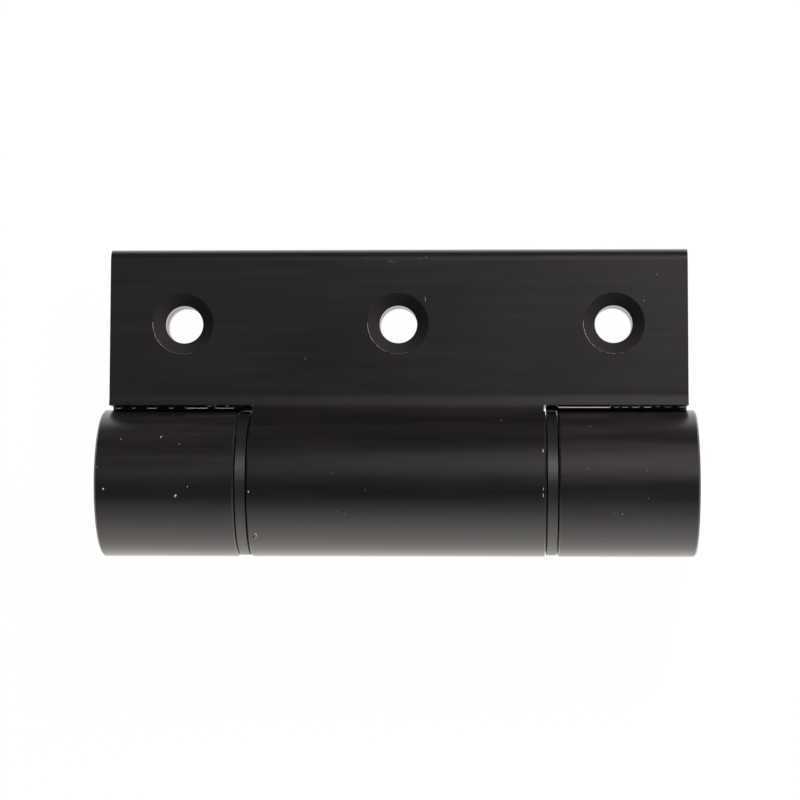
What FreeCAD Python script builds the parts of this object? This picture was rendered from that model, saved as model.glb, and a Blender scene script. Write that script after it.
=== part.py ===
import FreeCAD, Part
import math
import os

# Spring hinge: two extruded leaves whose knuckles interleave on one barrel axis, shut by a coil spring inside.
# Lengths are millimetres. X runs along the barrel, Y towards the leaves' free edges, Z out of the door leaf.
# The origin is the frame leaf's middle screw hole, on the face that is screwed to the frame.

# Barrel: a centre knuckle, a thrust ring at each side of it and an outer knuckle at each end
BARREL_DIAMETER = 30.0
BARREL_BORE = 20.0
CENTRE_KNUCKLE_LENGTH = 60.0
OUTER_KNUCKLE_LENGTH = 28.0
KNUCKLE_RIM_BREAK = 0.35
RING_THICKNESS = 2.0
RING_GAP = 0.25
RING_SETBACK = 0.25

# Keyway drawn along the bore, on the side of the leaves
KEY_WIDTH = 4.0
KEY_DEPTH = 1.5

# Leaves: one plate each, beside the plane through the barrel axis
LEAF_LENGTH = 118.0
LEAF_REACH = 47.85
LEAF_THICKNESS = 5.0
LEAF_GAP = 0.6
ROOT_FILLET = 6.0
FREE_EDGE_RADIUS = 2.5
INNER_EDGE_BREAK = 0.3
NOTCH_CLEARANCE = 0.65
RING_NOTCH_CLEARANCE = 0.1

# Countersunk screw holes in a row along each leaf
HOLE_ROW = 32.4
HOLE_SPACING = 44.0
HOLE_DIAMETER = 7.7
COUNTERSINK_DIAMETER = 12.5
COUNTERSINK_ANGLE = 90.0

# Pivot pin and what holds it endways
PIN_DIAMETER = 10.0
PIN_END_BREAK = 0.8
PIN_NOSE = 2.0
PIN_CAP_GAP = 4.0
GROOVE_DEPTH = 0.2
CIRCLIP_THICKNESS = 1.0
CIRCLIP_WIDTH = 1.9
CIRCLIP_OPENING = 5.0

# Bearing sleeves, spring and spring carrier
BEARING_LENGTH = 8.0
CARRIER_LENGTH = 5.0
WIRE_DIAMETER = 2.2
COIL_GAP = 0.15
TANG_LENGTH = 4.0
TANG_BEND = 2.2
WIRE_SIDES = 6
MITRES_PER_TURN = 10
MITRES_PER_BEND = 3
MITRED_CORNERS = 1

# End caps
CAP_RECESS = 0.3
CAP_LENGTH = 4.0
CAP_EDGE_BREAK = 0.5

# Clearances: turning fits, seated fits, the spring's tangs in their holes, and play along the barrel
RUNNING_CLEARANCE = 0.05
SEAT_CLEARANCE = 0.02
RING_CLEARANCE = 0.1
CARRIER_PIN_CLEARANCE = 0.5
TANG_CLEARANCE = 0.15
END_PLAY = 0.3

# Stations along the barrel, measured from its middle
CENTRE_END = CENTRE_KNUCKLE_LENGTH / 2
RING_START = CENTRE_END + RING_GAP
OUTER_START = RING_START + RING_THICKNESS + RING_GAP
BARREL_END = OUTER_START + OUTER_KNUCKLE_LENGTH
CAP_OUTER = BARREL_END - CAP_RECESS
CAP_INNER = CAP_OUTER - CAP_LENGTH
PIN_END = CAP_INNER - PIN_CAP_GAP
GROOVE_END = PIN_END - PIN_NOSE
GROOVE_START = GROOVE_END - CIRCLIP_THICKNESS - RUNNING_CLEARANCE
SLEEVE_OUTER = GROOVE_START - RUNNING_CLEARANCE
SLEEVE_INNER = CENTRE_END - BEARING_LENGTH
CARRIER_START = -SLEEVE_INNER + END_PLAY
CARRIER_END = CARRIER_START + CARRIER_LENGTH
COIL_START = CARRIER_END + END_PLAY + TANG_BEND
COIL_END = SLEEVE_INNER - END_PLAY - TANG_BEND

# Radii and heights that follow from the sizes above
BARREL_RADIUS = BARREL_DIAMETER / 2
BORE_RADIUS = BARREL_BORE / 2
PIN_RADIUS = PIN_DIAMETER / 2
WIRE_RADIUS = WIRE_DIAMETER / 2
LEAF_INNER = LEAF_GAP / 2
LEAF_OUTER = LEAF_INNER + LEAF_THICKNESS
NOTCH_REACH = BARREL_RADIUS + NOTCH_CLEARANCE
RING_RADIUS = BARREL_RADIUS - RING_SETBACK
RING_NOTCH_REACH = RING_RADIUS + RING_NOTCH_CLEARANCE
SLEEVE_RADIUS = BORE_RADIUS - RUNNING_CLEARANCE
SEAT_RADIUS = BORE_RADIUS - SEAT_CLEARANCE
COIL_RADIUS = (PIN_RADIUS + BORE_RADIUS) / 2
COIL_LENGTH = COIL_END - COIL_START
COIL_TURNS = math.floor(COIL_LENGTH / (WIRE_DIAMETER + COIL_GAP))
TANG_HOLE_RADIUS = WIRE_RADIUS + TANG_CLEARANCE
TANG_HOLE_DEPTH = TANG_LENGTH + TANG_CLEARANCE

ALONG_BARREL = FreeCAD.Vector(1, 0, 0)
OUT_OF_LEAF = FreeCAD.Vector(0, 0, 1)
MIDDLE = FreeCAD.Vector(0, 0, 0)


def at(x, y, z):
    """Point x along the barrel, y from its axis towards the free edges, z towards the door leaf."""
    return FreeCAD.Vector(x, y, z)


def one_solid(shape):
    """The single solid of a finished piece, with faces that lie in one surface joined."""
    (solid,) = shape.removeSplitter().Solids
    return solid


def turned(profile):
    """Solid turned about the barrel axis from (station, radius) points."""
    points = [at(x, radius, 0) for x, radius in profile]
    face = Part.Face(Part.makePolygon(points + points[:1]))
    return face.revolve(MIDDLE, ALONG_BARREL, 360)


def bar(radius, start, end, y=0.0, z=0.0):
    """Round bar along the barrel between two stations, with its axis at y and z."""
    return Part.makeCylinder(radius, end - start, at(start, y, z), ALONG_BARREL)


def block(start, end, low_y, high_y, half_height):
    """Block between two stations, as high above the axis plane as below it."""
    corner = at(start, low_y, -half_height)
    return Part.makeBox(end - start, high_y - low_y, 2 * half_height, corner)


def key_rib(start, end):
    """Rib that fills the keyway between two stations, rooted well inside the piece that carries it."""
    top = BORE_RADIUS + KEY_DEPTH - SEAT_CLEARANCE
    return block(start, end, BORE_RADIUS - KEY_DEPTH, top, KEY_WIDTH / 2 - SEAT_CLEARANCE)


def mirrored(shape, normal):
    """The shape mirrored in the plane through the barrel's middle with this normal."""
    return shape.mirror(MIDDLE, normal)


def plate_section():
    """Section of a leaf: flat mounting face, rounded free edge, outer face and the fillet to the barrel."""
    fillet_z = LEAF_OUTER + ROOT_FILLET
    fillet_y = math.sqrt((BARREL_RADIUS + ROOT_FILLET) ** 2 - fillet_z**2)
    fillet_middle = at(0, fillet_y, fillet_z)
    towards_barrel = fillet_middle * (-1 / fillet_middle.Length)
    on_barrel = fillet_middle + towards_barrel * ROOT_FILLET
    on_leaf = at(0, fillet_y, LEAF_OUTER)
    halfway = (towards_barrel + at(0, 0, -1)).normalize() * ROOT_FILLET
    wall_middle = (BARREL_RADIUS + BORE_RADIUS) / 2
    in_wall = towards_barrel * -wall_middle

    edge_y = LEAF_REACH - FREE_EDGE_RADIUS
    edge_z = LEAF_OUTER - FREE_EDGE_RADIUS
    diagonal = FREE_EDGE_RADIUS * math.sqrt(0.5)
    root = at(0, wall_middle, LEAF_INNER)
    inner_edge = at(0, LEAF_REACH - INNER_EDGE_BREAK, LEAF_INNER)
    broken_edge = at(0, LEAF_REACH, LEAF_INNER + INNER_EDGE_BREAK)
    round_start = at(0, LEAF_REACH, edge_z)
    round_end = at(0, edge_y, LEAF_OUTER)

    edges = [
        Part.makeLine(root, inner_edge),
        Part.makeLine(inner_edge, broken_edge),
        Part.makeLine(broken_edge, round_start),
        Part.Arc(round_start, at(0, edge_y + diagonal, edge_z + diagonal), round_end).toShape(),
        Part.makeLine(round_end, on_leaf),
        Part.Arc(on_leaf, fillet_middle + halfway, on_barrel).toShape(),
        Part.makeLine(on_barrel, in_wall),
        Part.makeLine(in_wall, root),
    ]
    return Part.Face(Part.Wire(edges))


def knuckle(start, end):
    """Solid knuckle between two stations, with broken rims."""
    flat = BARREL_RADIUS - KNUCKLE_RIM_BREAK
    return turned([
        (start, 0),
        (start, flat),
        (start + KNUCKLE_RIM_BREAK, BARREL_RADIUS),
        (end - KNUCKLE_RIM_BREAK, BARREL_RADIUS),
        (end, flat),
        (end, 0),
    ])


def screw_hole(x):
    """Through hole at a station of the hole row, countersunk from the leaf's outer face."""
    hole_radius = HOLE_DIAMETER / 2
    slope = math.tan(math.radians(COUNTERSINK_ANGLE / 2))
    sink_radius = COUNTERSINK_DIAMETER / 2
    sink_depth = (sink_radius - hole_radius) / slope
    above = LEAF_THICKNESS / 2
    drill = Part.makeCylinder(hole_radius, LEAF_THICKNESS * 2, at(x, HOLE_ROW, LEAF_INNER - above), OUT_OF_LEAF)
    sink = Part.makeCone(
        hole_radius,
        sink_radius + above * slope,
        sink_depth + above,
        at(x, HOLE_ROW, LEAF_OUTER - sink_depth),
        OUT_OF_LEAF,
    )
    return drill.fuse(sink)


def leaf(knuckles, notches):
    """Leaf on the door's side, with its own knuckles, and notched where rings and other knuckles turn."""
    half_length = LEAF_LENGTH / 2
    plate = plate_section()
    plate.translate(at(-half_length, 0, 0))
    body = plate.extrude(ALONG_BARREL * LEAF_LENGTH)
    body = body.cut([block(start, end, -reach, reach, BARREL_DIAMETER) for start, end, reach in notches])
    body = body.fuse([knuckle(start, end) for start, end in knuckles])
    keyway = block(-BARREL_END, BARREL_END, 0, BORE_RADIUS + KEY_DEPTH, KEY_WIDTH / 2)
    holes = [screw_hole(x) for x in (-HOLE_SPACING, 0, HOLE_SPACING)]
    return one_solid(body.cut([bar(BORE_RADIUS, -BARREL_END, BARREL_END), keyway] + holes))


def door_leaf():
    """Leaf with the centre knuckle, notched at both ends from where the knuckle's rims are broken."""
    rim = CENTRE_END - KNUCKLE_RIM_BREAK
    notches = [(-BARREL_END, -rim, NOTCH_REACH), (rim, BARREL_END, NOTCH_REACH)]
    return leaf([(-CENTRE_END, CENTRE_END)], notches)


def frame_leaf():
    """Leaf with the two outer knuckles, the other way up, notched in the middle and less deep at the rings."""
    knuckles = [(-BARREL_END, -OUTER_START), (OUTER_START, BARREL_END)]
    notches = [(-RING_START, RING_START, NOTCH_REACH), (-OUTER_START, OUTER_START, RING_NOTCH_REACH)]
    return mirrored(leaf(knuckles, notches), OUT_OF_LEAF)


def thrust_ring():
    """Plain ring between the centre knuckle and the right knuckle, carried by the bearing sleeve."""
    end = RING_START + RING_THICKNESS
    hole = bar(SLEEVE_RADIUS + RING_CLEARANCE, RING_START, end)
    return bar(RING_RADIUS, RING_START, end).cut(hole)


def coil_station(turns):
    """Centre of the coil's wire after so many turns, and the direction in which it runs round the barrel."""
    angle = 2 * math.pi * turns
    outwards = at(0, -math.sin(angle), -math.cos(angle))
    onwards = at(0, -math.cos(angle), math.sin(angle))
    x = COIL_START + COIL_LENGTH * turns / COIL_TURNS
    return at(x, 0, 0) + outwards * COIL_RADIUS, onwards


def tang_hole(turns, side, start, end):
    """Hole between two stations for the tang that leaves the coil after so many turns."""
    centre, onwards = coil_station(turns)
    axis = centre + onwards * (side * TANG_BEND)
    return bar(TANG_HOLE_RADIUS, start, end, axis.y, axis.z)


def bearing_sleeve():
    """Right sleeve: keyed in the outer knuckle, a bearing for the centre knuckle, a seat for the spring."""
    bore = PIN_RADIUS + RUNNING_CLEARANCE
    body = bar(SLEEVE_RADIUS, SLEEVE_INNER, SLEEVE_OUTER)
    body = body.fuse(key_rib(OUTER_START + END_PLAY, SLEEVE_OUTER))
    tang = tang_hole(COIL_TURNS, 1, SLEEVE_INNER, SLEEVE_INNER + TANG_HOLE_DEPTH)
    return one_solid(body.cut([bar(bore, SLEEVE_INNER, SLEEVE_OUTER), tang]))


def spring_carrier():
    """Keyed disc in the centre knuckle that turns the spring's moving end."""
    body = bar(SEAT_RADIUS, CARRIER_START, CARRIER_END)
    body = body.fuse(key_rib(CARRIER_START, CARRIER_END))
    pin_hole = bar(PIN_RADIUS + CARRIER_PIN_CLEARANCE, CARRIER_START, CARRIER_END)
    tang = tang_hole(0, -1, CARRIER_END - TANG_HOLE_DEPTH, CARRIER_END)
    return one_solid(body.cut([pin_hole, tang]))


def tang_path(turns, side):
    """Points of a tang's centre line from its tip to the coil: a straight run along the barrel, then a bend."""
    coil, onwards = coil_station(turns)
    bend_middle = coil + ALONG_BARREL * (side * TANG_BEND)
    bend_start = bend_middle + onwards * (side * TANG_BEND)
    points = [bend_start + ALONG_BARREL * (side * (END_PLAY + TANG_LENGTH))]
    for step in range(MITRES_PER_BEND):
        angle = math.pi / 2 * step / MITRES_PER_BEND
        spoke = onwards * math.cos(angle) - ALONG_BARREL * math.sin(angle)
        points.append(bend_middle + spoke * (side * TANG_BEND))
    return points


def torsion_spring():
    """Left-hand coil that winds up as the door leaf opens, with a bent tang at each end, of flatted wire."""
    steps = range(COIL_TURNS * MITRES_PER_TURN + 1)
    coil = [coil_station(step / MITRES_PER_TURN)[0] for step in steps]
    path = tang_path(0, -1) + coil + tang_path(COIL_TURNS, 1)[::-1]
    corners = []
    for side in range(WIRE_SIDES):
        angle = 2 * math.pi * side / WIRE_SIDES
        corners.append(path[0] + at(0, math.cos(angle), math.sin(angle)) * WIRE_RADIUS)
    section = Part.makePolygon(corners + corners[:1])
    return Part.makePolygon(path).makePipeShell([section], True, False, MITRED_CORNERS)


def pivot_pin():
    """Steel axle with chamfered ends and a circlip groove near each end."""
    groove_radius = PIN_RADIUS - GROOVE_DEPTH
    half = [
        (GROOVE_START, PIN_RADIUS),
        (GROOVE_START, groove_radius),
        (GROOVE_END, groove_radius),
        (GROOVE_END, PIN_RADIUS),
        (PIN_END - PIN_END_BREAK, PIN_RADIUS),
        (PIN_END, PIN_RADIUS - PIN_END_BREAK),
        (PIN_END, 0),
    ]
    return turned([(-x, radius) for x, radius in reversed(half)] + half)


def circlip():
    """Open ring in the pin's right groove, against the end of the sleeve."""
    end = GROOVE_START + CIRCLIP_THICKNESS
    inner = PIN_RADIUS - GROOVE_DEPTH + SEAT_CLEARANCE
    outer = inner + CIRCLIP_WIDTH
    opening = block(GROOVE_START, end, 0, outer, CIRCLIP_OPENING / 2)
    return one_solid(bar(outer, GROOVE_START, end).cut([bar(inner, GROOVE_START, end), opening]))


def end_cap():
    """Moulded plug, keyed like the sleeves, that closes the right end of the bore."""
    edge = CAP_OUTER - CAP_EDGE_BREAK
    plug = turned([
        (CAP_INNER, 0),
        (CAP_INNER, SEAT_RADIUS),
        (edge, SEAT_RADIUS),
        (CAP_OUTER, SEAT_RADIUS - CAP_EDGE_BREAK),
        (CAP_OUTER, 0),
    ])
    return one_solid(plug.fuse(key_rib(CAP_INNER, edge)))


def hinge_pieces():
    """Every piece by name, about the barrel axis, with the leaves folded shut."""
    pieces = {
        "frame_leaf": frame_leaf(),
        "door_leaf": door_leaf(),
        "pivot_pin": pivot_pin(),
        "spring_carrier": spring_carrier(),
        "torsion_spring": torsion_spring(),
    }
    paired = {
        "thrust_ring": thrust_ring(),
        "bearing_sleeve": bearing_sleeve(),
        "circlip": circlip(),
        "end_cap": end_cap(),
    }
    for name, shape in paired.items():
        pieces["right_" + name] = shape
        pieces["left_" + name] = mirrored(shape, ALONG_BARREL)
    return pieces


os.makedirs("parts", exist_ok=True)
for name, shape in hinge_pieces().items():
    shape.translate(at(0, -HOLE_ROW, LEAF_INNER))
    shape.exportStep(f"parts/{name}.step")
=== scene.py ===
"""Looks of a spring hinge: finishes, the wound spring, painted highlight arcs on the countersink rims, dust,
a plain studio and the camera.

Lengths in the classes are millimetres, in the hinge's own frame: X along the barrel, Y from the barrel
towards the leaves' free edges, Z out of the door leaf. The origin is the frame leaf's middle screw hole.
"""

import logging
import math
from dataclasses import dataclass
from enum import Enum

import bmesh
import bpy
from mathutils import Matrix, Vector, noise


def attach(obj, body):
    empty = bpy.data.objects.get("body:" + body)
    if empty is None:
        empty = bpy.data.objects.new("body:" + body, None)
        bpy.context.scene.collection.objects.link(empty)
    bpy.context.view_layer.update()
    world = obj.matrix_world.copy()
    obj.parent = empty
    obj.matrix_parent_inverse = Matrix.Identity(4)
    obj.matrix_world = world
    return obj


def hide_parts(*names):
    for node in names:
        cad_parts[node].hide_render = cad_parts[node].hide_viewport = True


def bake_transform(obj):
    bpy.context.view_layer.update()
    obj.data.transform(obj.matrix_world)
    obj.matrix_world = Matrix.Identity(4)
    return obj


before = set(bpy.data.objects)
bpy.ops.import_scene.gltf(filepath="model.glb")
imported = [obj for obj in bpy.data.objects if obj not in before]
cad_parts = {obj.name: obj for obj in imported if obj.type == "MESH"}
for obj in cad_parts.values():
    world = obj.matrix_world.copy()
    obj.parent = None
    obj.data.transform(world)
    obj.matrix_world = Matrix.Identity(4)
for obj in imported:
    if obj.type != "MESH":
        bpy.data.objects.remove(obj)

MM = 0.001
BARREL_AXIS_Y = -32.4
BARREL_AXIS_Z = 0.3
BARREL_RADIUS = 15.0
HOLE_SPACING = 44.0
DOOR_FACE_Z = 5.6
# Blender's wave texture runs through this many radians for each unit of its scale
WAVE_RADIANS = 20.0
Point = tuple[float, float, float]
log = logging.getLogger("spring_hinge")


class Body(Enum):
    """The two bodies that the hinge's joint turns about the barrel axis."""

    FRAME = "frame"
    DOOR = "door"


def metres(x: float, y: float, z: float) -> Vector:
    """A point given in millimetres, as Blender's metres."""
    return Vector((x, y, z)) * MM


def by_barrel(x: float, y: float, z: float) -> Vector:
    """A point given in millimetres from the middle of the barrel's axis, in metres."""
    return metres(x, BARREL_AXIS_Y + y, BARREL_AXIS_Z + z)


def linear(colour: str) -> tuple[float, float, float, float]:
    """Turns an sRGB colour into the linear one that shaders take.

    Args:
        colour: hex value such as "#1b191a".

    Returns:
        Red, green, blue and an alpha of one.
    """
    channels = [int(colour[start : start + 2], 16) / 255 for start in (1, 3, 5)]
    red, green, blue = [c / 12.92 if c <= 0.04045 else ((c + 0.055) / 1.055) ** 2.4 for c in channels]
    return red, green, blue, 1.0


def add_node(
    tree: bpy.types.NodeTree,
    kind: str,
    settings: dict[str | int, object] | None = None,
    links: dict[str | int, bpy.types.NodeSocket] | None = None,
) -> bpy.types.Node:
    """Adds a node to a tree.

    Args:
        tree: tree of a material or of the world.
        kind: identifier of the node's type.
        settings: properties by their names, and input values by the inputs' names or places.
        links: output sockets by the names or places of the inputs that they feed.

    Returns:
        The new node.
    """
    node = tree.nodes.new(kind)
    for name, value in (settings or {}).items():
        if isinstance(name, str) and hasattr(node, name):
            setattr(node, name, value)
        else:
            node.inputs[name].default_value = value
    for name, socket in (links or {}).items():
        tree.links.new(socket, node.inputs[name])
    return node


def new_material(name: str) -> tuple[bpy.types.Material, bpy.types.NodeTree]:
    """Starts a material with an empty node tree.

    Args:
        name: the finish's own name.

    Returns:
        The material and its tree.
    """
    material = bpy.data.materials.new(name)
    material.use_nodes = True
    material.node_tree.nodes.clear()
    return material, material.node_tree


def finish_material(tree: bpy.types.NodeTree, shader: bpy.types.Node) -> None:
    """Joins a shader to the material's output."""
    add_node(tree, "ShaderNodeOutputMaterial", links={"Surface": shader.outputs[0]})


def dress(piece: bpy.types.Object, material: bpy.types.Material) -> None:
    """Gives a piece one material in place of whatever it had."""
    piece.data.materials.clear()
    piece.data.materials.append(material)


def to_piece(mesh: bmesh.types.BMesh, name: str, material: bpy.types.Material) -> bpy.types.Object:
    """Turns a finished bmesh into an object at the origin, shaded smooth.

    Args:
        mesh: the shape, in metres, which is freed.
        name: the piece's name.
        material: its finish.

    Returns:
        The linked object.
    """
    bmesh.ops.recalc_face_normals(mesh, faces=mesh.faces)
    for face in mesh.faces:
        face.smooth = True
    data = bpy.data.meshes.new(name)
    mesh.to_mesh(data)
    mesh.free()
    piece = bpy.data.objects.new(name, data)
    bpy.context.scene.collection.objects.link(piece)
    dress(piece, material)
    return piece


def arc(
    mesh: bmesh.types.BMesh,
    place: Matrix,
    radius: float,
    wire_radius: float,
    wire_sides: int,
    sweep: float,
    steps: int,
) -> None:
    """Adds an arc of round wire, closed at both ends, to a mesh.

    Args:
        mesh: the mesh to add to.
        place: the arc's middle, with its start along X and its axis along Z.
        radius: the arc's radius in millimetres.
        wire_radius: the wire's radius in millimetres.
        wire_sides: number of sides of the wire.
        sweep: the arc's angle in degrees.
        steps: number of steps along the arc.
    """
    section = place @ Matrix.Translation(metres(radius, 0, 0)) @ Matrix.Rotation(math.pi / 2, 4, "X")
    ring = bmesh.ops.create_circle(
        mesh, cap_ends=True, radius=wire_radius * MM, segments=wire_sides, matrix=section
    )
    edges = list(dict.fromkeys(edge for vert in ring["verts"] for edge in vert.link_edges))
    axis = place.col[2].to_3d()
    angle = math.radians(sweep)
    spun = bmesh.ops.spin(mesh, geom=edges, cent=place.translation, axis=axis, angle=angle, steps=steps)
    last = [part for part in spun["geom_last"] if isinstance(part, bmesh.types.BMEdge)]
    bmesh.ops.contextual_create(mesh, geom=last)


@dataclass(frozen=True)
class AnodisedExtrusion:
    """Black-dyed anodic film on extruded aluminium.

    To the eye it is a dark satin skin, a little warm, with faint lines along the extrusion and cloudy dye.
    In the countersinks, which were machined before the film was grown, it is duller and lighter.
    """

    name: str
    colour: str
    streak_colour: str
    machined_colour: str = "#1b1818"
    machined_roughness: float = 0.8
    hole_radius: float = 3.88
    countersink_radius: float = 6.22
    # The leaves' inner faces and the bores behind the cones lie this near to the plane between the leaves
    inner_reach: float = 2.6
    # The render's noise filter leaves blotches where roughness crosses 0.275, so it stays above that
    roughness: float = 0.315
    roughness_spread: float = 0.035
    ior: float = 1.6
    # Sealing closes the film's pores with a second clear layer, which the machined cones lack
    seal_ior: float = 1.52
    seal_roughness: float = 0.3
    # Real die lines are a few hundredths apart, too fine to show, so they are drawn coarser
    line_spacing: float = 0.7
    line_length: float = 60.0
    line_height: float = 0.004
    line_octaves: float = 3.0
    line_fineness: float = 0.6
    dye_streak_length: float = 26.0
    dye_streak_width: float = 1.9
    dye_octaves: float = 3.0
    dye_fineness: float = 0.55
    ripple_height: float = 0.01
    cloud_size: float = 16.0
    cloud_octaves: float = 4.0
    cloud_fineness: float = 0.55
    # Noise keeps near its middle, so this much of its range is stretched over the whole of what it drives
    noise_low: float = 0.35
    noise_high: float = 0.65

    def build(self) -> bpy.types.Material:
        """Makes the material.

        Returns:
            A dielectric black with line noise in its colour and height, and clouds in its roughness.
        """
        material, tree = new_material(self.name)
        place = add_node(tree, "ShaderNodeTexCoord")
        stretch = Vector((1 / self.line_length, 1 / self.line_spacing, 1 / self.line_spacing)) / MM
        drawn = add_node(tree, "ShaderNodeMapping", {"Scale": stretch}, {"Vector": place.outputs["Object"]})
        lines = add_node(
            tree,
            "ShaderNodeTexNoise",
            {"Scale": 1.0, "Detail": self.line_octaves, "Roughness": self.line_fineness},
            {"Vector": drawn.outputs["Vector"]},
        )
        clouds = add_node(
            tree,
            "ShaderNodeTexNoise",
            {
                "Scale": 1 / (self.cloud_size * MM),
                "Detail": self.cloud_octaves,
                "Roughness": self.cloud_fineness,
            },
            {"Vector": place.outputs["Object"]},
        )
        width = 1 / self.dye_streak_width
        smear = Vector((1 / self.dye_streak_length, width, width)) / MM
        smeared = add_node(tree, "ShaderNodeMapping", {"Scale": smear}, {"Vector": place.outputs["Object"]})
        dye = add_node(
            tree,
            "ShaderNodeTexNoise",
            {"Scale": 1.0, "Detail": self.dye_octaves, "Roughness": self.dye_fineness},
            {"Vector": smeared.outputs["Vector"]},
        )
        depth = add_node(
            tree,
            "ShaderNodeMapRange",
            {"From Min": self.noise_low, "From Max": self.noise_high},
            {"Value": dye.outputs["Fac"]},
        )
        drawn_shade = add_node(
            tree,
            "ShaderNodeMixRGB",
            {"Color1": linear(self.colour), "Color2": linear(self.streak_colour)},
            {"Fac": depth.outputs["Result"]},
        )
        drawn_sheen = add_node(
            tree,
            "ShaderNodeMapRange",
            {
                "From Min": self.noise_low,
                "From Max": self.noise_high,
                "To Min": self.roughness - self.roughness_spread,
                "To Max": self.roughness + self.roughness_spread,
            },
            {"Value": clouds.outputs["Fac"]},
        )
        machined = self.countersinks(tree, place.outputs["Object"])
        shade = add_node(
            tree,
            "ShaderNodeMixRGB",
            {"Color2": linear(self.machined_colour)},
            {"Fac": machined, "Color1": drawn_shade.outputs["Color"]},
        )
        sheen = add_node(
            tree,
            "ShaderNodeMapRange",
            {"To Max": self.machined_roughness},
            {"Value": machined, "To Min": drawn_sheen.outputs["Result"]},
        )
        sealed = add_node(tree, "ShaderNodeMapRange", {"To Min": 1.0, "To Max": 0.0}, {"Value": machined})
        relief = add_node(
            tree,
            "ShaderNodeMath",
            {"operation": "MULTIPLY_ADD", 1: self.ripple_height / self.line_height},
            {0: dye.outputs["Fac"], 2: lines.outputs["Fac"]},
        )
        height = add_node(
            tree,
            "ShaderNodeBump",
            {"Distance": self.line_height * MM, "Strength": 1.0},
            {"Height": relief.outputs[0]},
        )
        shader = add_node(
            tree,
            "ShaderNodeBsdfPrincipled",
            {"IOR": self.ior, "Coat IOR": self.seal_ior, "Coat Roughness": self.seal_roughness},
            {
                "Base Color": shade.outputs["Color"],
                "Roughness": sheen.outputs["Result"],
                "Coat Weight": sealed.outputs["Result"],
                "Normal": height.outputs["Normal"],
                "Coat Normal": height.outputs["Normal"],
            },
        )
        finish_material(tree, shader)
        return material

    def countersinks(self, tree: bpy.types.NodeTree, place: bpy.types.NodeSocket) -> bpy.types.NodeSocket:
        """Adds nodes that pick out the countersinks, which lie on the origin's row at an even spacing.

        Args:
            tree: the material's tree.
            place: point in the hinge's frame.

        Returns:
            One on a countersink's cone, nought elsewhere.
        """
        pitch = HOLE_SPACING * MM
        apart = add_node(tree, "ShaderNodeSeparateXYZ", links={"Vector": place})
        nearest = add_node(
            tree,
            "ShaderNodeMath",
            {"operation": "WRAP", 1: pitch / 2, 2: -pitch / 2},
            {0: apart.outputs["X"]},
        )
        flat = add_node(
            tree,
            "ShaderNodeCombineXYZ",
            links={"X": nearest.outputs[0], "Y": apart.outputs["Y"]},
        )
        distance = add_node(
            tree,
            "ShaderNodeVectorMath",
            {"operation": "LENGTH"},
            {0: flat.outputs["Vector"]},
        )
        middle = (self.countersink_radius + self.hole_radius) / 2
        reach = (self.countersink_radius - self.hole_radius) / 2
        in_ring = add_node(
            tree,
            "ShaderNodeMath",
            {"operation": "COMPARE", 1: middle * MM, 2: reach * MM},
            {0: distance.outputs["Value"]},
        )
        inner = add_node(
            tree,
            "ShaderNodeMath",
            {"operation": "COMPARE", 1: BARREL_AXIS_Z * MM, 2: self.inner_reach * MM},
            {0: apart.outputs["Z"]},
        )
        on_cone = add_node(
            tree,
            "ShaderNodeMath",
            {"operation": "SUBTRACT", "use_clamp": True},
            {0: in_ring.outputs[0], 1: inner.outputs[0]},
        )
        return on_cone.outputs[0]


@dataclass(frozen=True)
class TurnedAcetal:
    """Black acetal turned on a lathe, with a film of grease.

    To the eye it is a dark plastic with a strong sheen, drawn out along the barrel by the tool marks.
    """

    name: str = "black_acetal_turned_greased"
    colour: str = "#111111"
    roughness: float = 0.5
    anisotropy: float = 0.85
    # A quarter of a turn draws the sheen out across the tool marks
    sheen_turn: float = 0.25
    ior: float = 1.48
    specular_level: float = 1.0
    grease_ior: float = 1.6
    grease_roughness: float = 0.45
    tool_mark_spacing: float = 0.32
    tool_mark_height: float = 0.006
    tool_mark_waver: float = 0.6
    waver_octaves: float = 2.0
    waver_scale: float = 1.5

    def build(self) -> bpy.types.Material:
        """Makes the material.

        Returns:
            A black with bands of height along the barrel and a sheen drawn out across the bands.
        """
        material, tree = new_material(self.name)
        place = add_node(tree, "ShaderNodeTexCoord")
        marks = add_node(
            tree,
            "ShaderNodeTexWave",
            {
                "wave_type": "BANDS",
                "bands_direction": "X",
                "Scale": 2 * math.pi / WAVE_RADIANS / (self.tool_mark_spacing * MM),
                "Distortion": self.tool_mark_waver,
                "Detail": self.waver_octaves,
                "Detail Scale": self.waver_scale,
            },
            {"Vector": place.outputs["Object"]},
        )
        height = add_node(
            tree,
            "ShaderNodeBump",
            {"Distance": self.tool_mark_height * MM, "Strength": 1.0},
            {"Height": marks.outputs["Fac"]},
        )
        round_barrel = add_node(tree, "ShaderNodeTangent", {"direction_type": "RADIAL", "axis": "X"})
        shader = add_node(
            tree,
            "ShaderNodeBsdfPrincipled",
            {
                "Base Color": linear(self.colour),
                "Roughness": self.roughness,
                "IOR": self.ior,
                "Specular IOR Level": self.specular_level,
                "Anisotropic": self.anisotropy,
                "Anisotropic Rotation": self.sheen_turn,
                "Coat Weight": 1.0,
                "Coat Roughness": self.grease_roughness,
                "Coat IOR": self.grease_ior,
            },
            {"Normal": height.outputs["Normal"], "Tangent": round_barrel.outputs["Tangent"]},
        )
        finish_material(tree, shader)
        return material


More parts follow.
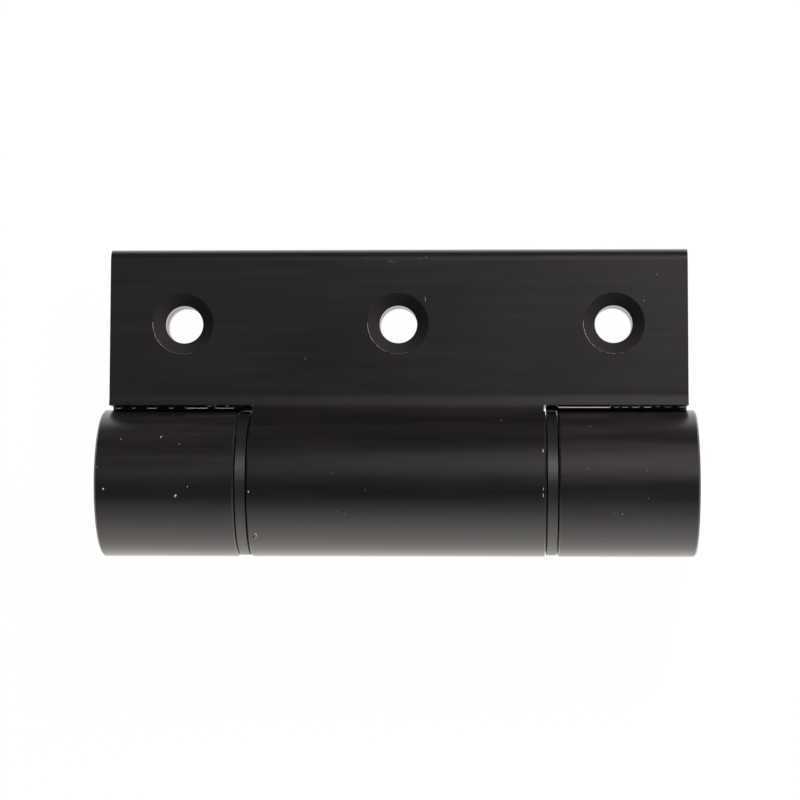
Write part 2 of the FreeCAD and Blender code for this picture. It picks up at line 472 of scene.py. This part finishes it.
@dataclass(frozen=True)
class MouldedPolyamide:
    """Black glass-filled polyamide from a mould: matt, with a fine grain that fibres leave in its skin."""

    name: str = "black_polyamide_moulded"
    colour: str = "#222222"
    fibre_colour: str = "#303030"
    roughness: float = 0.55
    ior: float = 1.53
    # Fibres are about a hundredth across, too fine to show, so their grain is drawn coarser
    grain_size: float = 0.5
    grain_height: float = 0.01
    grain_octaves: float = 3.0

    def build(self) -> bpy.types.Material:
        """Makes the material.

        Returns:
            A matt black with grain in its colour and height.
        """
        material, tree = new_material(self.name)
        place = add_node(tree, "ShaderNodeTexCoord")
        grain = add_node(
            tree,
            "ShaderNodeTexNoise",
            {"Scale": 1 / (self.grain_size * MM), "Detail": self.grain_octaves},
            {"Vector": place.outputs["Object"]},
        )
        shade = add_node(
            tree,
            "ShaderNodeMixRGB",
            {"Color1": linear(self.colour), "Color2": linear(self.fibre_colour)},
            {"Fac": grain.outputs["Fac"]},
        )
        height = add_node(
            tree,
            "ShaderNodeBump",
            {"Distance": self.grain_height * MM, "Strength": 1.0},
            {"Height": grain.outputs["Fac"]},
        )
        shader = add_node(
            tree,
            "ShaderNodeBsdfPrincipled",
            {"Roughness": self.roughness, "IOR": self.ior},
            {"Base Color": shade.outputs["Color"], "Normal": height.outputs["Normal"]},
        )
        finish_material(tree, shader)
        return material


@dataclass(frozen=True)
class WorkedMetal:
    """Bare metal with the marks of how it was worked, drawn out along one direction.

    To the eye it is a grey sheen that breaks up into fine lines or grains, with duller patches.
    """

    name: str
    colour: str
    dull_colour: str
    roughness: float
    roughness_spread: float
    # Size of the marks along X, Y and Z; real ones are finer than a picture shows
    mark_size: Point
    mark_height: float
    mark_octaves: float = 4.0
    mark_fineness: float = 0.6
    noise_low: float = 0.3
    noise_high: float = 0.7

    def build(self) -> bpy.types.Material:
        """Makes the material.

        Returns:
            A metal with its marks in colour, roughness and height.
        """
        material, tree = new_material(self.name)
        place = add_node(tree, "ShaderNodeTexCoord")
        stretch = Vector([1 / (size * MM) for size in self.mark_size])
        drawn = add_node(tree, "ShaderNodeMapping", {"Scale": stretch}, {"Vector": place.outputs["Object"]})
        marks = add_node(
            tree,
            "ShaderNodeTexNoise",
            {"Scale": 1.0, "Detail": self.mark_octaves, "Roughness": self.mark_fineness},
            {"Vector": drawn.outputs["Vector"]},
        )
        shade = add_node(
            tree,
            "ShaderNodeMixRGB",
            {"Color1": linear(self.dull_colour), "Color2": linear(self.colour)},
            {"Fac": marks.outputs["Fac"]},
        )
        sheen = add_node(
            tree,
            "ShaderNodeMapRange",
            {
                "From Min": self.noise_low,
                "From Max": self.noise_high,
                "To Min": self.roughness + self.roughness_spread,
                "To Max": self.roughness - self.roughness_spread,
            },
            {"Value": marks.outputs["Fac"]},
        )
        height = add_node(
            tree,
            "ShaderNodeBump",
            {"Distance": self.mark_height * MM, "Strength": 1.0},
            {"Height": marks.outputs["Fac"]},
        )
        shader = add_node(
            tree,
            "ShaderNodeBsdfPrincipled",
            {"Metallic": 1.0},
            {
                "Base Color": shade.outputs["Color"],
                "Roughness": sheen.outputs["Result"],
                "Normal": height.outputs["Normal"],
            },
        )
        finish_material(tree, shader)
        return material


@dataclass(frozen=True)
class PaleDust:
    """Settled dust and lint, also used for slivers of painted highlight on knuckle rims: pale, quite matt,
    mottled from grain to grain.
    """

    name: str = "dust_pale_fibres_settled_and_rim_highlights"
    colour: str = "#c9c5c0"
    dark_colour: str = "#8d8985"
    roughness: float = 0.95
    mottle_size: float = 0.15
    mottle_octaves: float = 2.0

    def build(self) -> bpy.types.Material:
        """Makes the material.

        Returns:
            A matt grey with mottled colour.
        """
        material, tree = new_material(self.name)
        place = add_node(tree, "ShaderNodeTexCoord")
        mottle = add_node(
            tree,
            "ShaderNodeTexNoise",
            {"Scale": 1 / (self.mottle_size * MM), "Detail": self.mottle_octaves},
            {"Vector": place.outputs["Object"]},
        )
        shade = add_node(
            tree,
            "ShaderNodeMixRGB",
            {"Color1": linear(self.dark_colour), "Color2": linear(self.colour)},
            {"Fac": mottle.outputs["Fac"]},
        )
        shader = add_node(
            tree,
            "ShaderNodeBsdfPrincipled",
            {"Roughness": self.roughness},
            {"Base Color": shade.outputs["Color"]},
        )
        finish_material(tree, shader)
        return material


# The leaves were cut from two lengths of the extrusion, and the frame leaf's took the dye less deeply
DOOR_FILM = AnodisedExtrusion(
    name="black_anodised_aluminium_satin_extruded",
    colour="#0b090a",
    streak_colour="#141112",
)
FRAME_FILM = AnodisedExtrusion(
    name="black_anodised_aluminium_satin_extruded_paler",
    colour="#110f10",
    streak_colour="#1c191a",
    seal_ior=1.43,
)
# Centreless grinding leaves rings of fine scratches round a pin, so its marks are short along X
GROUND_STEEL = WorkedMetal(
    name="steel_ground",
    colour="#bdbcba",
    dull_colour="#9d9c9a",
    roughness=0.2,
    roughness_spread=0.06,
    mark_size=(0.25, 6.0, 6.0),
    mark_height=0.003,
)
# Oiled wire keeps a dark skin with duller patches and no lines that would show
SPRING_STEEL = WorkedMetal(
    name="spring_steel_wire_drawn_oiled",
    colour="#66666a",
    dull_colour="#444446",
    roughness=0.38,
    roughness_spread=0.1,
    mark_size=(1.6, 1.6, 1.6),
    mark_height=0.004,
)
# Bright, torn-looking bare metal, laid in arcs on the countersink rims as their painted highlight
RIM_HIGHLIGHT_ALUMINIUM = WorkedMetal(
    name="bare_aluminium_painted_rim_highlight",
    colour="#d6d4d0",
    dull_colour="#8f8d8a",
    roughness=0.4,
    roughness_spread=0.1,
    mark_size=(0.4, 0.2, 0.2),
    mark_height=0.02,
)


@dataclass
class Leaves:
    """The two extruded leaves with their knuckles."""

    door_finish: bpy.types.Material
    frame_finish: bpy.types.Material

    def build(self) -> None:
        """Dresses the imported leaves."""
        for name, finish in {"door_leaf": self.door_finish, "frame_leaf": self.frame_finish}.items():
            dress(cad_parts[name], finish)
            log.info("dressed %s", name)


@dataclass
class BarrelFittings:
    """What sits between and inside the knuckles, apart from the spring."""

    acetal: bpy.types.Material
    polyamide: bpy.types.Material
    ground_steel: bpy.types.Material
    spring_steel: bpy.types.Material

    def build(self) -> None:
        """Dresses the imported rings, caps, sleeves, pin, carrier and circlips."""
        finishes = {
            "left_thrust_ring": self.acetal,
            "right_thrust_ring": self.acetal,
            "left_end_cap": self.acetal,
            "right_end_cap": self.acetal,
            "left_bearing_sleeve": self.polyamide,
            "right_bearing_sleeve": self.polyamide,
            "pivot_pin": self.ground_steel,
            "spring_carrier": self.ground_steel,
            "left_circlip": self.spring_steel,
            "right_circlip": self.spring_steel,
        }
        for name, finish in finishes.items():
            dress(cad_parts[name], finish)
            log.info("dressed %s", name)


@dataclass
class WoundSpring:
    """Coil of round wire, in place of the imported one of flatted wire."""

    finish: bpy.types.Material
    coil_start: float = -14.2
    coil_end: float = 19.5
    coil_radius: float = 7.5
    coil_turns: int = 14
    wire_radius: float = 1.1
    tang_bend: float = 2.2
    tang_run: float = 4.3
    wire_sides: int = 12
    steps_per_turn: int = 24
    steps_per_bend: int = 6

    def build(self) -> bpy.types.Object:
        """Winds the spring from its moving tang to its fixed one.

        Returns:
            The spring, which is tied to neither body.
        """
        mesh = bmesh.new()
        tip = by_barrel(self.coil_start - self.tang_bend - self.tang_run, self.tang_bend, -self.coil_radius)
        section = Matrix.Translation(tip) @ Matrix.Rotation(math.pi / 2, 4, "Y")
        bmesh.ops.create_circle(
            mesh, cap_ends=True, radius=self.wire_radius * MM, segments=self.wire_sides, matrix=section
        )
        ring = self.run(mesh, mesh.edges[:])
        first_bend = by_barrel(self.coil_start - self.tang_bend, 0, -self.coil_radius)
        ring = self.wind(mesh, ring, first_bend, Vector((0, 0, -1)), math.pi / 2, self.steps_per_bend)
        steps = self.coil_turns * self.steps_per_turn
        lead = (self.coil_end - self.coil_start) / steps
        coil_middle = by_barrel(self.coil_start, 0, 0)
        turns = 2 * math.pi * self.coil_turns
        ring = self.wind(mesh, ring, coil_middle, Vector((-1, 0, 0)), turns, steps, lead)
        last_bend = by_barrel(self.coil_end + self.tang_bend, 0, -self.coil_radius)
        ring = self.wind(mesh, ring, last_bend, Vector((0, 0, 1)), math.pi / 2, self.steps_per_bend)
        ring = self.run(mesh, ring)
        bmesh.ops.contextual_create(mesh, geom=ring)
        spring = to_piece(mesh, "wound_spring", self.finish)
        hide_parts("torsion_spring")
        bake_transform(spring)
        log.info("wound %s", spring.name)
        return spring

    def run(self, mesh: bmesh.types.BMesh, ring: list[bmesh.types.BMEdge]) -> list[bmesh.types.BMEdge]:
        """Draws a ring of edges out into a straight tang along the barrel.

        Args:
            mesh: the spring so far.
            ring: its open end.

        Returns:
            The new open end.
        """
        drawn = bmesh.ops.extrude_edge_only(mesh, edges=ring)["geom"]
        ends = [part for part in drawn if isinstance(part, bmesh.types.BMVert)]
        bmesh.ops.translate(mesh, verts=ends, vec=metres(self.tang_run, 0, 0))
        edges = [part for part in drawn if isinstance(part, bmesh.types.BMEdge)]
        return [edge for edge in edges if set(edge.verts) <= set(ends)]

    def wind(
        self,
        mesh: bmesh.types.BMesh,
        ring: list[bmesh.types.BMEdge],
        middle: Vector,
        axis: Vector,
        angle: float,
        steps: int,
        lead: float = 0.0,
    ) -> list[bmesh.types.BMEdge]:
        """Winds a ring of edges about an axis.

        Args:
            mesh: the spring so far.
            ring: its open end.
            middle: a point on the axis.
            axis: the axis's direction.
            angle: radians to wind.
            steps: number of steps.
            lead: how far each step moves along the barrel, in millimetres.

        Returns:
            The new open end.
        """
        step = metres(lead, 0, 0)
        spun = bmesh.ops.spin(mesh, geom=ring, cent=middle, axis=axis, dvec=step, angle=angle, steps=steps)
        return [part for part in spun["geom_last"] if isinstance(part, bmesh.types.BMEdge)]


@dataclass
class RimHighlightArcs:
    """Bright metal arcs on the rims of the door leaf's countersinks: a painted highlight where the rims'
    edges catch the lamps.
    """

    finish: bpy.types.Material
    rim_radius: float = 6.25
    wire_radius: float = 0.065
    wire_sides: int = 6
    # Degrees about each hole, from X towards the free edge
    start: float = 176.0
    sweep: float = 112.0
    steps: int = 60
    # The arcs rise and sink by this much, so that they show as broken lines
    waver: float = 0.07
    waver_length: float = 0.9

    def build(self) -> bpy.types.Object:
        """Lays a thin arc of painted highlight on each rim, on its side towards the barrel.

        Returns:
            One piece with the three arcs, which rides on the door.
        """
        mesh = bmesh.new()
        for x in (-HOLE_SPACING, 0.0, HOLE_SPACING):
            middle = metres(x, 0, DOOR_FACE_Z - self.wire_radius / 2)
            place = Matrix.Translation(middle) @ Matrix.Rotation(math.radians(self.start), 4, "Z")
            arc(mesh, place, self.rim_radius, self.wire_radius, self.wire_sides, self.sweep, self.steps)
        for vert in mesh.verts:
            vert.co.z += noise.noise(vert.co / (self.waver_length * MM)) * self.waver * MM
        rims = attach(to_piece(mesh, "rim_highlight_arcs", self.finish), Body.DOOR.value)
        log.info("laid %s", rims.name)
        return rims


@dataclass(frozen=True)
class Thread:
    """A pale thread along a slit, which gives the slit its light line: its ends, which cling to the edge,
    its width and how far it sags.
    """

    start: float
    end: float
    width: float
    drop: float


@dataclass(frozen=True)
class Speck:
    """A pale grain, which is dust except for the slivers of painted highlight on knuckle rims: its place on
    the barrel or the leaf, its length and width, and its turn there.

    On the barrel the place is the station and the angle about the axis, on the leaf X and Y.
    """

    along: float
    across: float
    length: float
    width: float
    turn: float = 0.0


@dataclass
class Dust:
    """Grains and a curled fibre that lie on the barrel and the door leaf, threads in the slits, and pale
    slivers on knuckle rims that paint their highlight.
    """

    finish: bpy.types.Material
    # The door leaf's free edge, with the round of its outer side
    free_edge: float = 15.45
    free_edge_radius: float = 2.5
    # A grain stands out of the surface by this share of its width
    height_share: float = 0.3
    grain_subdivisions: int = 2
    on_frame: tuple[Speck, ...] = (
        Speck(-58.55, -7.1, 0.45, 0.35, 40),
        Speck(-55.44, 33.6, 0.3, 0.12, 60),
        Speck(-47.39, 35.6, 0.6, 0.14, 70),
        Speck(-43.61, 29.0, 0.2, 0.14),
        Speck(-41.67, -5.2, 0.4, 0.12, 80),
        Speck(-44.1, -12.4, 0.75, 0.4, 55),
        Speck(-38.97, -63.8, 0.35, 0.24),
        Speck(-59.84, 9.8, 0.18, 0.11, 90),
        Speck(-59.97, 5.2, 0.15, 0.08, 90),
        Speck(38.83, 46.9, 0.3, 0.08, 90),
        Speck(38.06, 8.8, 0.27, 0.12, 20),
        Speck(49.92, 7.3, 0.24, 0.11, 30),
        Speck(50.11, -14.0, 0.21, 0.08, 80),
        Speck(43.23, -26.0, 0.24, 0.08, 60),
        Speck(44.1, -25.6, 0.18, 0.07, 120),
        Speck(45.02, -26.6, 0.24, 0.14, 20),
        Speck(41.99, -49.9, 0.3, 0.11, 60),
        # This sliver on the right outer knuckle's rim is painted highlight of the rim's edge, in the dust's
        # colour
        Speck(32.62, -60.0, 1.1, 0.16, 90),
    )
    on_knuckle: tuple[Speck, ...] = (
        Speck(-29.44, -9.2, 0.5, 0.25, 80),
        Speck(-12.65, 5.2, 0.15, 0.08),
        Speck(-11.7, -24.1, 0.21, 0.08, 30),
        Speck(-10.3, -26.9, 0.27, 0.08, 40),
        Speck(-8.54, -29.9, 0.24, 0.08, 30),
        Speck(-6.06, -7.5, 0.15, 0.1),
        Speck(20.99, 54.7, 0.21, 0.1, 20),
        Speck(23.59, 38.0, 0.18, 0.07, 70),
        # These three slivers along the centre knuckle's right rim are painted highlight of its edge, in the
        # dust's colour
        Speck(29.3, 23.0, 0.9, 0.14, 90),
        Speck(29.3, -7.0, 0.7, 0.12, 90),
        Speck(29.3, -12.0, 0.9, 0.16, 90),
    )
    on_leaf: tuple[Speck, ...] = (
        Speck(-19.75, 13.93, 0.18, 0.08),
        Speck(-19.0, -7.26, 0.15, 0.1),
        Speck(-18.98, -10.75, 0.12, 0.08),
        Speck(52.69, 9.87, 0.18, 0.09, 40),
        Speck(50.03, 4.55, 0.21, 0.13, 60),
        Speck(30.13, -1.56, 0.15, 0.07),
        Speck(22.0, -12.59, 0.15, 0.07, 30),
        Speck(5.6, 4.9, 1.2, 0.06, 100),
        Speck(5.7, 13.52, 0.2, 0.12, 60),
        Speck(4.5, 13.32, 0.2, 0.05, 90),
        Speck(-1.97, 12.72, 0.3, 0.03, 90),
        Speck(-1.36, 12.71, 0.35, 0.04, 90),
        Speck(-0.74, 12.61, 0.3, 0.03, 90),
        Speck(-6.17, 13.55, 0.25, 0.06, 80),
    )
    # Pale threads hung along the slits' edges, which draw the light line in each slit
    in_slits: tuple[Thread, ...] = (
        Thread(32.3, 43.4, 0.28, 0.48),
        Thread(43.7, 45.0, 0.12, 0.46),
        Thread(45.3, 47.0, 0.14, 0.46),
        Thread(47.3, 49.3, 0.16, 0.46),
        Thread(49.7, 51.6, 0.18, 0.46),
        Thread(52.3, 53.1, 0.14, 0.42),
        Thread(54.0, 55.6, 0.1, 0.42),
        Thread(56.8, 58.8, 0.12, 0.42),
        Thread(-39.1, -37.9, 0.2, 0.2),
        Thread(-37.6, -36.9, 0.16, 0.2),
        Thread(-35.3, -34.4, 0.2, 0.2),
        Thread(-37.6, -33.2, 0.09, 0.62),
        Thread(-43.6, -38.6, 0.12, 0.62),
        Thread(-47.0, -45.6, 0.07, 0.62),
        Thread(-51.5, -49.0, 0.08, 0.62),
        Thread(-54.6, -53.4, 0.07, 0.62),
        Thread(-58.0, -56.2, 0.07, 0.62),
    )
    # The door leaf's edge at the slits, from the barrel's axis along Y and Z
    slit_edge: tuple[float, float] = (15.65, 5.2)
    thread_segment: float = 0.4
    thread_waver: float = 0.06
    thread_bend: float = 0.3
    fibre_place: tuple[float, float] = (-29.3, -46.6)
    fibre_turn: float = -65.0
    fibre_curl: float = 1.0
    fibre_radius: float = 0.27
    fibre_sides: int = 6
    fibre_sweep: float = 95.0
    fibre_steps: int = 12

    def build(self) -> list[bpy.types.Object]:
        """Scatters the dust.

        Returns:
            The dust and painted rim highlights on the frame's knuckles, and those on the door with threads
            and fibre.
        """
        frame_mesh = bmesh.new()
        for speck in self.on_frame:
            self.lay_grain(frame_mesh, self.barrel_place(speck.along, speck.across), speck)
        door_mesh = bmesh.new()
        for speck in self.on_knuckle:
            self.lay_grain(door_mesh, self.barrel_place(speck.along, speck.across), speck)
        for speck in self.on_leaf:
            self.lay_grain(door_mesh, self.leaf_place(speck.along, speck.across), speck)
        for thread in self.in_slits:
            self.lay_thread(door_mesh, thread)
        curl = self.barrel_place(*self.fibre_place) @ Matrix.Rotation(math.radians(self.fibre_turn), 4, "Z")
        arc(
            door_mesh,
            curl,
            self.fibre_curl,
            self.fibre_radius,
            self.fibre_sides,
            self.fibre_sweep,
            self.fibre_steps,
        )
        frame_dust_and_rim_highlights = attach(to_piece(frame_mesh, "frame_dust_and_rim_highlights", self.finish), Body.FRAME.value)
        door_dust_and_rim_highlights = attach(to_piece(door_mesh, "door_dust_and_rim_highlights", self.finish), Body.DOOR.value)
        log.info("dusted %s and %s", frame_dust_and_rim_highlights.name, door_dust_and_rim_highlights.name)
        return [frame_dust_and_rim_highlights, door_dust_and_rim_highlights]

    def barrel_place(self, x: float, angle: float) -> Matrix:
        """Where something lies on the barrel: X along it and Z straight out of it.

        Args:
            x: station along the barrel.
            angle: degrees from straight out of the door leaf, positive towards the free edges.

        Returns:
            The place as a matrix.
        """
        lean = math.radians(angle)
        foot = by_barrel(x, BARREL_RADIUS * math.sin(lean), BARREL_RADIUS * math.cos(lean))
        return Matrix.Translation(foot) @ Matrix.Rotation(-lean, 4, "X")

    def leaf_place(self, x: float, y: float) -> Matrix:
        """Where something lies on the door leaf's outer face or its rounded free edge: Z straight out.

        Args:
            x: place along the barrel.
            y: place towards the free edge.

        Returns:
            The place as a matrix.
        """
        round_middle = self.free_edge - self.free_edge_radius
        lean = math.asin(max(0.0, y - round_middle) / self.free_edge_radius)
        drop = self.free_edge_radius * (1 - math.cos(lean))
        return Matrix.Translation(metres(x, y, DOOR_FACE_Z - drop)) @ Matrix.Rotation(-lean, 4, "X")

    def lay_grain(self, mesh: bmesh.types.BMesh, place: Matrix, speck: Speck) -> None:
        """Adds a flattened grain.

        Args:
            mesh: the mesh to add to.
            place: its place on a surface, with Z straight out.
            speck: its size and turn.
        """
        radii = (speck.length / 2 * MM, speck.width / 2 * MM, speck.width * self.height_share * MM, 1)
        turned = place @ Matrix.Rotation(math.radians(speck.turn), 4, "Z") @ Matrix.Diagonal(radii)
        bmesh.ops.create_icosphere(mesh, subdivisions=self.grain_subdivisions, radius=1.0, matrix=turned)

    def lay_thread(self, mesh: bmesh.types.BMesh, thread: Thread) -> None:
        """Adds a thread that clings by its ends to the edge of a slit.

        Args:
            mesh: the mesh to add to.
            thread: its size and place.
        """
        y, z = self.slit_edge
        length = thread.end - thread.start
        middle = by_barrel((thread.start + thread.end) / 2, y, z)
        strand = bmesh.new()
        bmesh.ops.create_cone(
            strand,
            cap_ends=True,
            segments=self.fibre_sides,
            radius1=thread.width / 2 * MM,
            radius2=thread.width / 2 * MM,
            depth=length * MM,
            matrix=Matrix.Translation(middle) @ Matrix.Rotation(math.pi / 2, 4, "Y"),
        )
        sides = [edge for edge in strand.edges if edge.calc_length() > thread.width * MM]
        bmesh.ops.subdivide_edges(strand, edges=sides, cuts=round(length / self.thread_segment))
        for vert in strand.verts:
            station = vert.co.x / MM
            inset = min(station - thread.start, thread.end - station)
            sag = thread.drop * min(1.0, inset / self.thread_bend)
            waver = noise.noise(Vector((station / self.thread_segment, 0, 0))) * self.thread_waver
            vert.co.y += (waver - sag) * MM
        data = bpy.data.meshes.new("strand")
        strand.to_mesh(data)
        strand.free()
        mesh.from_mesh(data)
        bpy.data.meshes.remove(data)


@dataclass(frozen=True)
class PhotoCamera:
    """Camera that looks at the folded hinge as the photograph does, with its roll in degrees."""

    eye: Point = (18.0, -53.06, 494.8)
    aim: Point = (0.26, -15.3, 0.3)
    roll: float = 0.13
    lens: float = 108.55

    def build(self) -> bpy.types.Object:
        """Makes the camera the scene's own.

        Returns:
            The camera object.
        """
        camera = bpy.data.objects.new("photo_camera", bpy.data.cameras.new("photo_camera"))
        bpy.context.scene.collection.objects.link(camera)
        camera.data.lens = self.lens
        eye = metres(*self.eye)
        ahead = (metres(*self.aim) - eye).normalized()
        right = ahead.cross(Vector((0, 1, 0))).normalized()
        up = right.cross(ahead)
        turn = Matrix((right, up, -ahead)).transposed()
        turn = turn @ Matrix.Rotation(math.radians(self.roll), 3, "Z")
        camera.matrix_world = Matrix.Translation(eye) @ turn.to_4x4()
        bpy.context.scene.camera = camera
        return camera


@dataclass(frozen=True)
class Lamp:
    """A round soft lamp: its middle, the point that it faces, its diameter, and its power in watts."""

    name: str
    place: Point
    target: Point
    width: float
    power: float
    colour: str = "#ffffff"
    mirrored: bool = True

    def hang(self) -> bpy.types.Object:
        """Hangs the lamp.

        Returns:
            The lamp's object.
        """
        data = bpy.data.lights.new(self.name, "AREA")
        data.shape = "DISK"
        data.size = self.width * MM
        data.energy = self.power
        data.color = linear(self.colour)[:3]
        lamp = bpy.data.objects.new(self.name, data)
        bpy.context.scene.collection.objects.link(lamp)
        lamp.location = metres(*self.place)
        lamp.rotation_mode = "QUATERNION"
        lamp.rotation_quaternion = (metres(*self.target) - lamp.location).to_track_quat("-Z", "Y")
        lamp.visible_glossy = self.mirrored
        return lamp


LAMP_COLOUR = "#fff6ff"
# The first three show as soft sheens on the black film: along the barrel, at the right and at the left.
# The last lights only what is matt, such as dust and the countersinks
LAMPS = (
    Lamp("soft_lamp", (225.0, 282.0, 558.0), (225.0, -32.0, 0.0), 580.0, 0.32, LAMP_COLOUR),
    Lamp("side_lamp", (440.0, 223.0, 460.0), (0.0, -32.0, 0.0), 300.0, 2.15, LAMP_COLOUR),
    Lamp("left_lamp", (-230.0, 120.0, 560.0), (-60.0, 0.0, 0.0), 320.0, 0.036, LAMP_COLOUR),
    Lamp("key_lamp", (230.0, 620.0, 520.0), (0.0, 0.0, 0.0), 260.0, 10.0, mirrored=False),
)


@dataclass
class Studio:
    """White floor, soft lamps, and a room that is white in front of the hinge and dark overhead."""

    lamps: tuple[Lamp, ...] = LAMPS
    floor_level: float = -14.7
    floor_side: float = 6000.0
    floor_colour: str = "#f2f2f2"
    # To the camera the paper glows by itself, but for this share, which the lamps light and the hinge shades
    floor_shadow_share: float = 0.02
    # The lamps' light on the open paper, out of one, so that glow and share add up to white
    floor_light: float = 0.85
    # Reflections show the paper white near the hinge, and dim where it runs away behind the free edges
    paper_white_end: float = 40.0
    paper_dim_start: float = 200.0
    paper_dim_level: float = 0.04
    # Matt surfaces get this much light from the dark side of the room and from the white one
    matt_dark_level: float = 0.12
    matt_white_level: float = 0.45
    # Reflections show the room dark where this direction is behind a ray, and white where it is ahead
    white_side: Point = (0.0, -0.8, -0.6)
    dark_end: float = -0.2
    white_end: float = 0.76
    dark_level: float = 0.028
    white: str = "#ffffff"
    # What the hinge mirrors of paper and room is a little warmer than what the camera sees of them
    warm_white: str = "#fffaf5"

    def build(self) -> None:
        """Builds floor, lamps and surroundings."""
        self.floor()
        for lamp in self.lamps:
            lamp.hang()
        self.surround()

    def floor(self) -> bpy.types.Object:
        """Lays the floor under the barrel, white to the camera and in reflections, with a faint shadow.

        Returns:
            The floor.
        """
        material, tree = new_material("studio_floor_white_paper")
        material.cycles.emission_sampling = "NONE"
        paper = add_node(tree, "ShaderNodeBsdfDiffuse", {"Color": linear(self.floor_colour)})
        faint = [self.floor_shadow_share * channel for channel in linear(self.floor_colour)[:3]] + [1.0]
        shadow = add_node(tree, "ShaderNodeBsdfDiffuse", {"Color": faint})
        path = add_node(tree, "ShaderNodeLightPath")
        place = add_node(tree, "ShaderNodeTexCoord")
        apart = add_node(tree, "ShaderNodeSeparateXYZ", links={"Vector": place.outputs["Object"]})
        away = add_node(
            tree,
            "ShaderNodeMapRange",
            {
                "From Min": self.paper_white_end * MM,
                "From Max": self.paper_dim_start * MM,
                "To Min": 1.0,
                "To Max": self.paper_dim_level,
            },
            {"Value": apart.outputs["Y"]},
        )
        strength = add_node(
            tree,
            "ShaderNodeMapRange",
            {"To Min": 1 - self.floor_shadow_share * self.floor_light},
            {"Value": path.outputs["Is Glossy Ray"], "To Max": away.outputs["Result"]},
        )
        tint = add_node(
            tree,
            "ShaderNodeMixRGB",
            {"Color1": linear(self.white), "Color2": linear(self.warm_white)},
            {"Fac": path.outputs["Is Glossy Ray"]},
        )
        glow = add_node(
            tree,
            "ShaderNodeEmission",
            links={"Color": tint.outputs["Color"], "Strength": strength.outputs["Result"]},
        )
        white = add_node(tree, "ShaderNodeAddShader", links={0: glow.outputs[0], 1: shadow.outputs[0]})
        mirrored = add_node(
            tree,
            "ShaderNodeMath",
            {"operation": "MAXIMUM"},
            {0: path.outputs["Is Camera Ray"], 1: path.outputs["Is Glossy Ray"]},
        )
        viewed = add_node(
            tree,
            "ShaderNodeMath",
            {"operation": "MAXIMUM"},
            {0: mirrored.outputs[0], 1: path.outputs["Is Transmission Ray"]},
        )
        shader = add_node(
            tree,
            "ShaderNodeMixShader",
            links={0: viewed.outputs[0], 1: paper.outputs[0], 2: white.outputs[0]},
        )
        finish_material(tree, shader)
        mesh = bmesh.new()
        bmesh.ops.create_grid(mesh, x_segments=1, y_segments=1, size=self.floor_side / 2 * MM)
        bmesh.ops.translate(mesh, verts=mesh.verts, vec=metres(0, 0, self.floor_level))
        floor = to_piece(mesh, "studio_floor", material)
        return floor

    def surround(self) -> None:
        """Surrounds the scene: white to the camera, white to dark in reflections, evener on matt faces."""
        world = bpy.data.worlds.new("studio_surround")
        bpy.context.scene.world = world
        world.use_nodes = True
        tree = world.node_tree
        tree.nodes.clear()
        place = add_node(tree, "ShaderNodeTexCoord")
        along = add_node(
            tree,
            "ShaderNodeVectorMath",
            {"operation": "DOT_PRODUCT", 1: self.white_side},
            {0: place.outputs["Generated"]},
        )
        room = add_node(
            tree,
            "ShaderNodeMapRange",
            {
                "From Min": self.dark_end,
                "From Max": self.white_end,
                "To Min": self.dark_level,
                "To Max": 1.0,
            },
            {"Value": along.outputs["Value"]},
        )
        matt = add_node(
            tree,
            "ShaderNodeMapRange",
            {
                "From Min": self.dark_end,
                "From Max": self.white_end,
                "To Min": self.matt_dark_level,
                "To Max": self.matt_white_level,
            },
            {"Value": along.outputs["Value"]},
        )
        path = add_node(tree, "ShaderNodeLightPath")
        unseen = add_node(
            tree,
            "ShaderNodeMapRange",
            links={
                "Value": path.outputs["Is Glossy Ray"],
                "To Min": matt.outputs["Result"],
                "To Max": room.outputs["Result"],
            },
        )
        level = add_node(
            tree,
            "ShaderNodeMapRange",
            {"To Max": 1.0},
            {"Value": path.outputs["Is Camera Ray"], "To Min": unseen.outputs["Result"]},
        )
        tint = add_node(
            tree,
            "ShaderNodeMixRGB",
            {"Color1": linear(self.white), "Color2": linear(self.warm_white)},
            {"Fac": path.outputs["Is Glossy Ray"]},
        )
        light = add_node(
            tree,
            "ShaderNodeBackground",
            links={"Color": tint.outputs["Color"], "Strength": level.outputs["Result"]},
        )
        add_node(tree, "ShaderNodeOutputWorld", links={"Surface": light.outputs[0]})


def main() -> None:
    logging.basicConfig(level=logging.INFO, format="%(message)s")
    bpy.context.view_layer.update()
    bpy.context.scene.view_settings.view_transform = "Standard"
    PhotoCamera().build()
    Studio().build()
    ground_steel = GROUND_STEEL.build()
    spring_steel = SPRING_STEEL.build()
    Leaves(DOOR_FILM.build(), FRAME_FILM.build()).build()
    BarrelFittings(TurnedAcetal().build(), MouldedPolyamide().build(), ground_steel, spring_steel).build()
    WoundSpring(spring_steel).build()
    # Bright metal arcs on the countersink rims paint the highlight of their edges
    RimHighlightArcs(RIM_HIGHLIGHT_ALUMINIUM.build()).build()
    # The dust includes pale slivers on knuckle rims that paint their edge highlight
    Dust(PaleDust().build()).build()


if __name__ == "__main__":
    main()
